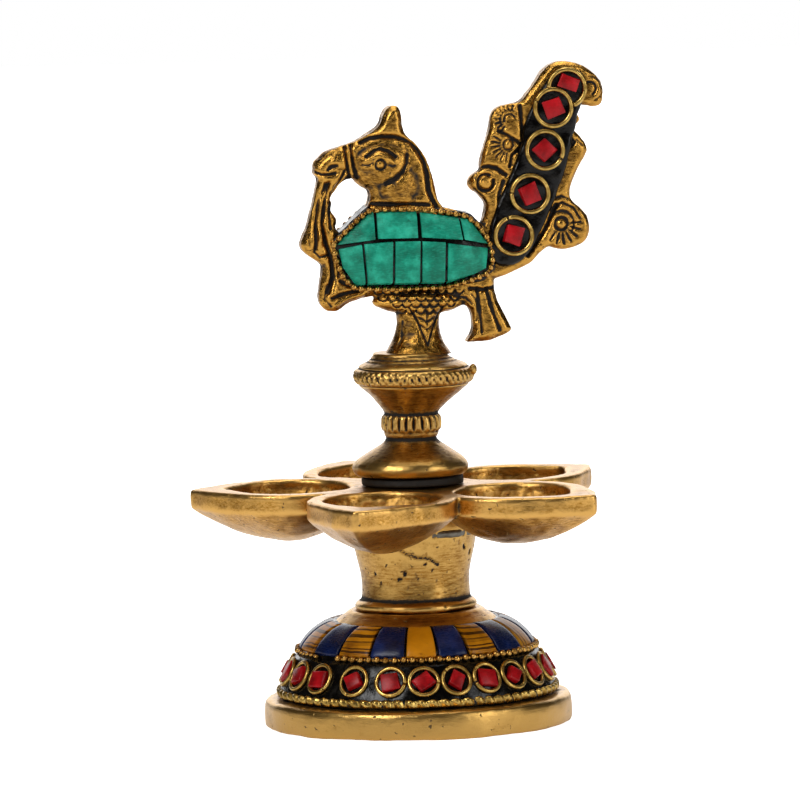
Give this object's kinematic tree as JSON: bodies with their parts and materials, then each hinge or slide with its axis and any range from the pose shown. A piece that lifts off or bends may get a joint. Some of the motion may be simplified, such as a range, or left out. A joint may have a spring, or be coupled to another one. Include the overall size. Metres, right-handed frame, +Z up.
{
  "type": "standing oil lamp",
  "caption": "Standing brass oil lamp: domed foot with stone inlay, short stem, star-shaped plate of open bowls, and a screwed-on peacock finial inlaid with stone chips.",
  "frame": {"origin": "centre of the foot's flat rest face", "axes": "+Z up the lamp's axis; the peacock faces -X, turned 10 degrees towards -Y"},
  "size_m": [0.0979, 0.0987, 0.1519],
  "materials": {
    "cast_brass": "antiqued cast brass, relief darkened and high spots polished",
    "turned_brass": "cast brass turned and hand-filed, darkened in the grooves",
    "wire_brass": "plain brass wire and bead strip",
    "lac": "hard black lac that beds the stones",
    "turquoise_stone": "ground turquoise-coloured stone chips",
    "coral_stone": "ground coral-coloured stone chips",
    "blue_stone": "ground dark blue stone tiles",
    "amber_stone": "ground amber-coloured tiles with brown grain",
    "solder": "dull grey solder",
    "washer": "black seating washer"
  },
  "bodies": {
    "lamp": {"foot_casting": "cast_brass", "foot_lac": "lac", "foot_strip_wire": "wire_brass", "foot_bead_wire": "wire_brass", "foot_wire_rings": "wire_brass", "foot_coral_chips": "coral_stone", "lower_stem": "turned_brass", "stem_solder": "solder", "lamp_plate": "turned_brass", "blue_tile_1": "blue_stone", "amber_tile_1": "amber_stone", "blue_tile_2": "blue_stone", "amber_tile_2": "amber_stone", "blue_tile_3": "blue_stone", "amber_tile_3": "amber_stone", "blue_tile_4": "blue_stone", "amber_tile_4": "amber_stone", "blue_tile_5": "blue_stone", "amber_tile_5": "amber_stone", "blue_tile_6": "blue_stone", "amber_tile_6": "amber_stone", "blue_tile_7": "blue_stone", "amber_tile_7": "amber_stone", "blue_tile_8": "blue_stone", "amber_tile_8": "amber_stone", "blue_tile_9": "blue_stone", "amber_tile_9": "amber_stone", "blue_tile_10": "blue_stone", "amber_tile_10": "amber_stone"},
    "washer": {"plate_washer": "washer"},
    "finial": {"finial_stud": "turned_brass", "finial_stem": "turned_brass", "peacock_casting": "cast_brass", "body_lac": "lac", "body_bead_wires": "wire_brass", "tail_lac": "lac", "tail_wire_rings": "wire_brass", "tail_coral_chips": "coral_stone", "left_upper_chip_1": "turquoise_stone", "left_upper_chip_2": "turquoise_stone", "left_upper_chip_3": "turquoise_stone", "left_upper_chip_4": "turquoise_stone", "left_lower_chip_1": "turquoise_stone", "left_lower_chip_2": "turquoise_stone", "left_lower_chip_3": "turquoise_stone", "left_lower_chip_4": "turquoise_stone", "left_lower_chip_5": "turquoise_stone", "right_upper_chip_1": "turquoise_stone", "right_upper_chip_2": "turquoise_stone", "right_upper_chip_3": "turquoise_stone", "right_upper_chip_4": "turquoise_stone", "right_lower_chip_1": "turquoise_stone", "right_lower_chip_2": "turquoise_stone", "right_lower_chip_3": "turquoise_stone", "right_lower_chip_4": "turquoise_stone", "right_lower_chip_5": "turquoise_stone"}
  },
  "joints": [
    {"name": "finial_lift", "type": "slide", "parent": "lamp", "child": "washer", "axis": [0, 0, 1], "range_m": [0, 0.0125]},
    {"name": "finial_turn", "type": "hinge", "parent": "washer", "child": "finial", "pos_m": [0, 0, 0.0575], "axis": [0, 0, 1], "range_deg": [0, 3600]}
  ],
  "couplings": [
    {"joint": "finial_lift", "follows": "finial_turn", "m_per_rad": 0.00019894}
  ]
}
